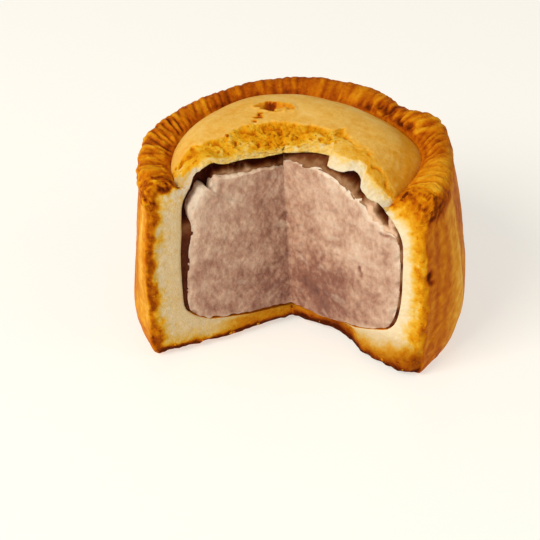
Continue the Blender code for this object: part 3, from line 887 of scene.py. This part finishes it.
def pork_material():
    """Cooked pork: moist pink beige, with pale fat and fibres, and painted shade that darkens it low
    down, by the tip and in its cracks.

    The "lean" attribute says how dark.  Chunks are 5 mm, pieces of fat 3.4 mm,
    fibres 1.2 mm and the torn grain 1.5 mm across.  The fibres stand upright.
    """
    made, tree, shader = new_material("cooked_chopped_pork")
    where = add_node(tree, "TexCoord", "Object", {})
    lean_and_shade = add_node(tree, "Attribute", "Fac", {}, attribute_name="lean_and_shade")
    upright = add_node(tree, "Mapping", "Vector", {"Vector": where, "Scale": (1.0, 1.0, 0.62)})
    chunks = add_node(tree, "TexNoise", "Fac", {"Vector": where, "Scale": 1.0 / (5.0 * MM),
                                                "Detail": 2.0, "Roughness": 0.5})
    fibres = add_node(tree, "TexNoise", "Fac", {"Vector": upright, "Scale": 1.0 / (1.2 * MM),
                                                "Detail": 4.0, "Roughness": 0.62})
    fat = add_node(tree, "TexNoise", "Fac", {"Vector": where, "Scale": 1.0 / (3.4 * MM),
                                             "Detail": 1.0, "Roughness": 0.4})
    grain = add_node(tree, "TexNoise", "Fac", {"Vector": where, "Scale": 1.0 / (1.5 * MM),
                                               "Detail": 4.0, "Roughness": 0.62})
    tone = add_node(tree, "Math", "Value", {0: fibres, 1: 0.50, 2: lean_and_shade}, operation="MULTIPLY_ADD")
    tone = add_node(tree, "Math", "Value", {0: chunks, 1: 0.40, 2: tone}, operation="MULTIPLY_ADD")
    meat = add_node(tree, "ValToRGB", "Color", {"Fac": tone}, stops=(
        (0.26, "#EAD6BE"), (0.40, "#DCC0A6"), (0.52, "#CCA88E"), (0.66, "#B0856C"),
        (0.80, "#8A5844"), (1.0, "#64382C")))
    spots = add_node(tree, "ValToRGB", "Color", {"Fac": fat}, stops=(
        (0.64, "#000000"), (0.76, "#8A8A8A")))
    colour = add_node(tree, "Mix", "Result", {"Factor": spots, "A": meat, "B": linear("#E6D2B8")},
                      data_type="RGBA")
    bump = add_node(tree, "Bump", "Normal", {"Height": grain, "Strength": 0.55, "Distance": 0.9 * MM})
    set_inputs(tree, shader, {"Base Color": colour, "Roughness": 0.5, "Normal": bump,
                              "Specular IOR Level": 0.35, "Subsurface Weight": 0.15,
                              "Subsurface Radius": (1.0, 0.4, 0.3), "Subsurface Scale": 1.2 * MM})
    return made


# Short open cracks in the right cut face, from end to end: distance along the
# cut, and height.
PORK_CRACKS = ((Vector((26.6, 39.6)), Vector((28.8, 39.8))),
               (Vector((28.8, 39.8)), Vector((31.0, 38.8))),
               (Vector((20.7, 27.2)), Vector((21.2, 24.9))))
CRACK_HALF_WIDTH = 0.42

# The core that the section runs in to, on the pie's axis.
CORE_TOP = 50.0
CORE_FOOT = 7.0


def crack_share(place):
    """1 in the middle of a crack, fading out over about half a millimetre."""
    gaps = []
    for first, second in PORK_CRACKS:
        whole = second - first
        part = min(max((place - first).dot(whole) / whole.length_squared, 0.0), 1.0)
        gaps.append((place - first - whole * part).length)
    return hump(min(gaps), 0.0, CRACK_HALF_WIDTH)


pork_rows = [station[2] for station in PORK_STATIONS[:-1]]
pork_paths = [smooth_path([station[side] for station in PORK_STATIONS], pork_rows)
              for side in range(2)]
pork, across_layer, along_layer = spun_section(sum(pork_rows), PORK_ACROSS, PORK_STEPS, 1)
lean_and_shade_layer = pork.verts.layers.float.new("lean_and_shade")
for vert in pork.verts:
    across, row, turn, part = section_reading(vert, across_layer, along_layer)
    on_right = turn < 90.0
    outer = pork_paths[0][row].lerp(pork_paths[1][row], part)
    crag = rough(Vector((outer.x, 0.05 * turn, outer.y)), 2.8, 2)
    outer.y += 0.60 * step(36.0, 41.0, outer.y) * crag
    core = Vector((0.0, CORE_TOP + (CORE_FOOT - CORE_TOP) * row / sum(pork_rows)))
    spot = outer.lerp(core, across)
    point = placed(spot.x, spot.y, turn)
    run_right, run_left = cut_runs(point)

    # The cut face: lumpy, crumbling at its edge, with the cracks
    lumps = 0.22 * rough(point, 3.5) + 0.14 * rough(point, 1.3)
    edge = step(0.07, 0.0, across)
    lumps += edge * (0.5 + 0.7 * rough(point + Vector((2, 8, 3)), 2.4, 2)) + 0.1
    wander = Vector((0.5 * rough(point, 1.8, 2), 0.5 * rough(point + Vector((5, 5, 5)), 1.8, 2)))
    crack = crack_share(Vector((run_right, point.z)) + wander) if on_right else 0.0
    push_back(point, lumps + 0.35 * crack, lumps)

    # Colour: darker low down and by the tip, which is painted shade, and paler along the edge
    # painted shadow: a dark patch low on the right cut face, and painted shade by the tip and low down
    low = 0.20 * hump(run_right, 9.5, 8.5) * hump(point.z, 15.0, 8.5)
    low += 0.08 * hump(run_left, 5.0, 6.5) * hump(point.z, 38.0, 8.0)
    low += 0.07 * step(24.0, 2.0, max(run_right, run_left)) + 0.10 * step(44.0, 16.0, point.z)
    pale = step(0.09 if on_right else 0.13, 0.02, across) * step(34.0, 40.0, point.z)
    pale += 0.6 * step(0.10, 0.0, across) * step(40.0, 34.0, point.z)
    lean_and_shade = (0.06 if on_right else 0.09) + low + 0.05 * rough(point, 6.0) - 0.22 * pale
    # painted shade: the cracks are painted darker
    vert[lean_and_shade_layer] = lean_and_shade + 0.28 * crack
    vert.co = point
bmesh.ops.remove_doubles(pork, verts=pork.verts, dist=WELD)
chopped_pork = finished_object("chopped_pork", pork, pork_material())
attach(chopped_pork, "root")
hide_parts("pork_filling")

# ---------------------------------------------------------------- the crumbs
# Loose grains of baked pastry left where the crust was broken and cut.  They
# cling to the broken band of the lid and to the torn outer corners of the cuts.
CRUMB_COUNT = 130
SMALLEST_CRUMB = 0.20
LARGEST_CRUMB = 0.58
CRUMB_CLEARANCE = 0.10


def crumb_spots(piece, least_torn, least_baked, least_up, lowest):
    """Places and directions on a finished piece where a crumb can cling."""
    torn = piece.data.attributes["crumb"].data
    baked = piece.data.attributes["bake"].data
    spots = []
    for vertex in piece.data.vertices:
        ready = torn[vertex.index].value > least_torn and baked[vertex.index].value > least_baked
        if ready and vertex.normal.z > least_up and vertex.co.z > lowest * MM:
            spots.append((vertex.co / MM, Vector(vertex.normal)))
    return spots


random.seed(7)
on_lid = crumb_spots(pastry_lid, 0.97, 0.30, 0.5, 0.0)
on_case = crumb_spots(pastry_case, 0.85, 0.40, -2.0, 1.5)
crumbs = bmesh.new()
bake_layer = crumbs.verts.layers.float.new("bake")
crumb_layer = crumbs.verts.layers.float.new("crumb")
for number in range(CRUMB_COUNT):
    spots = on_lid if number % 5 < 3 else on_case
    spot, face = random.choice(spots)
    size = SMALLEST_CRUMB + (LARGEST_CRUMB - SMALLEST_CRUMB) * random.random() ** 2
    tone = random.uniform(0.38, 0.56) + (0.0 if spots is on_lid else 0.10)
    made = bmesh.ops.create_icosphere(crumbs, subdivisions=2, radius=size)
    shift = Vector((random.uniform(-50, 50), random.uniform(-50, 50), 0.0))
    squash = Matrix.Rotation(random.uniform(0.0, math.tau), 3, "X") @ Matrix.Diagonal((1.0, 0.7, 0.5))
    turned = Matrix.Rotation(random.uniform(0.0, math.tau), 3, "Z") @ squash
    for vert in made["verts"]:
        vert.co *= 1.0 + 0.7 * rough(vert.co + shift, 0.8, 2)
        vert.co = turned @ vert.co
        vert[bake_layer] = tone + 0.12 * rough(vert.co + shift, 0.5)
        vert[crumb_layer] = 1.0
        vert.co += spot + face * CRUMB_CLEARANCE * size
clinging_crumbs = finished_object("clinging_crumbs", crumbs, pastry)
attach(clinging_crumbs, "root")

# ---------------------------------------------------------------- the floor
# A pale, faintly glossy table top, wide enough to fill the view.  It lies a
# hair under the foot, so that the two surfaces don't meet in one plane.
FLOOR_SIZE = 6.0
FLOOR_DROP = 0.2 * MM
floor_mesh = bpy.data.meshes.new("floor")
work = bmesh.new()
bmesh.ops.create_grid(work, x_segments=1, y_segments=1, size=0.5 * FLOOR_SIZE)
bmesh.ops.translate(work, verts=work.verts, vec=(0.0, 0.0, -FLOOR_DROP))
work.to_mesh(floor_mesh)
work.free()
floor = bpy.data.objects.new("floor", floor_mesh)
bpy.context.scene.collection.objects.link(floor)
table_top, tree, shader = new_material("pale_table_top")
set_inputs(tree, shader, {"Base Color": linear("#B8B5AE"), "Roughness": 0.35,
                          "Specular IOR Level": 0.3, "Emission Color": linear("#FFFCF4"),
                          "Emission Strength": 0.56})
floor_mesh.materials.append(table_top)

# ---------------------------------------------------------------- the light
# A large soft lamp at the front left, a weaker one at the right, and a pale room.
# Both lamps face the middle of the pie, at half its height.
PIE_MIDDLE = 25.0 * MM
scene = bpy.context.scene


def soft_lamp(name, direction, distance, size, power, code):
    """A square lamp that faces the pie from a direction, in metres and watts."""
    lamp = bpy.data.lights.new(name, "AREA")
    lamp.size = size
    lamp.energy = power
    lamp.color = linear(code)[:3]
    made = bpy.data.objects.new(name, lamp)
    away = Vector(direction).normalized()
    made.location = away * distance + Vector((0.0, 0.0, PIE_MIDDLE))
    made.rotation_euler = away.to_track_quat("Z", "Y").to_euler()
    scene.collection.objects.link(made)


soft_lamp("key_lamp", (-0.62, -0.50, 0.75), 0.9, 0.46, 7.2, "#FFF9F0")
soft_lamp("fill_lamp", (1.0, -0.25, 0.55), 1.1, 0.8, 2.2, "#FFF6E8")
world = bpy.data.worlds.new("pale_room")
world.use_nodes = True
backdrop = world.node_tree.nodes["Background"]
backdrop.inputs["Color"].default_value = linear("#FBFAF8")
backdrop.inputs["Strength"].default_value = 0.38
scene.world = world
scene.view_settings.view_transform = "Standard"

# ---------------------------------------------------------------- the camera
# A long lens about 20 cm above the table, looking down at the pie, which
# stands a little right of and above the middle of the view.
ELEVATION = math.radians(37.0)
DISTANCE = 318.75 * MM
SHIFT_ACROSS = -0.0463
SHIFT_UP = -0.0611
camera_data = bpy.data.cameras.new("camera")
camera_data.lens = 85.0
camera_data.sensor_width = 36.0
camera_data.shift_x = SHIFT_ACROSS
camera_data.shift_y = SHIFT_UP
camera_data.clip_start = 0.01
camera = bpy.data.objects.new("camera", camera_data)
camera.location = (0.0, -math.cos(ELEVATION) * DISTANCE,
                   PIE_MIDDLE + math.sin(ELEVATION) * DISTANCE)
camera.rotation_euler = (math.pi / 2.0 - ELEVATION, 0.0, 0.0)
scene.collection.objects.link(camera)
scene.camera = camera
